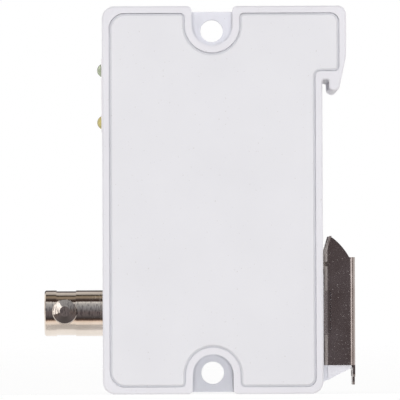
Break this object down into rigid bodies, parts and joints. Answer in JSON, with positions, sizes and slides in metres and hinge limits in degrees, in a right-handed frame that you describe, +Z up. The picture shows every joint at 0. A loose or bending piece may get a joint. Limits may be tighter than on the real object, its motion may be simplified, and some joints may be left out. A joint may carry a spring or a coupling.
{
  "type": "ethernet over coax receiver",
  "caption": "Slim rail or wall mounted converter box with a bayonet coax jack, a network socket, two lamps and a sprung steel rail clip.",
  "frame": {"origin": "centre of the bounding box's bottom face, at mid thickness of the housing", "axes": "+Z up along the housing's height, +X towards the rail side with its hook and clip, -X towards the front face with the coax jack, -Y towards the side cover"},
  "size_m": [0.0652, 0.025, 0.081],
  "materials": {
    "housing_plastic": "fine textured, off white",
    "cover_plastic": "fine textured, off white",
    "overlay_film": "satin film",
    "circuit_board": "solder mask",
    "zinc_screw": "zinc plated",
    "nickel_plate": "bright nickel plate",
    "white_liner": "smooth",
    "gold_contact": "gold plated",
    "black_plastic": "moulded",
    "tinned_metal": "tin plated",
    "shield_steel": "nickel plated sheet",
    "green_lens": "clear tinted dome",
    "yellow_lens": "clear tinted dome",
    "chip_plastic": "moulded package",
    "crystal_can": "drawn can",
    "capacitor_can": "drawn can",
    "ferrite": "pressed ferrite",
    "clip_steel": "nickel plated spring sheet",
    "spring_steel": "drawn wire"
  },
  "bodies": {
    "case": {"housing": "housing_plastic", "side_cover": "cover_plastic", "front_overlay": "overlay_film", "main_pcb": "circuit_board", "pcb_screws": "zinc_screw", "bnc_barrel": "nickel_plate", "bnc_insulator": "white_liner", "bnc_contact": "gold_contact", "bnc_base": "black_plastic", "bnc_pins": "tinned_metal", "rj45_shell": "shield_steel", "rj45_insert": "black_plastic", "rj45_contacts": "gold_contact", "dc_jack_body": "black_plastic", "dc_jack_pin": "tinned_metal", "dc_jack_leads": "tinned_metal", "led_green": "green_lens", "led_yellow": "yellow_lens", "led_leads": "tinned_metal", "network_transformer": "chip_plastic", "modem_chip": "chip_plastic", "ethernet_chip": "chip_plastic", "clock_crystal": "crystal_can", "storage_capacitors": "capacitor_can", "power_inductor": "ferrite", "clip_spring": "spring_steel"},
    "clip": {"rail_clip": "clip_steel"}
  },
  "joints": [
    {"name": "clip_slide", "type": "slide", "parent": "case", "child": "clip", "axis": [0, 0, -1], "range_m": [0, 0.0035], "stiffness_N_per_m": 200, "springref_m": -0.001, "deforming": ["clip_spring"]}
  ]
}
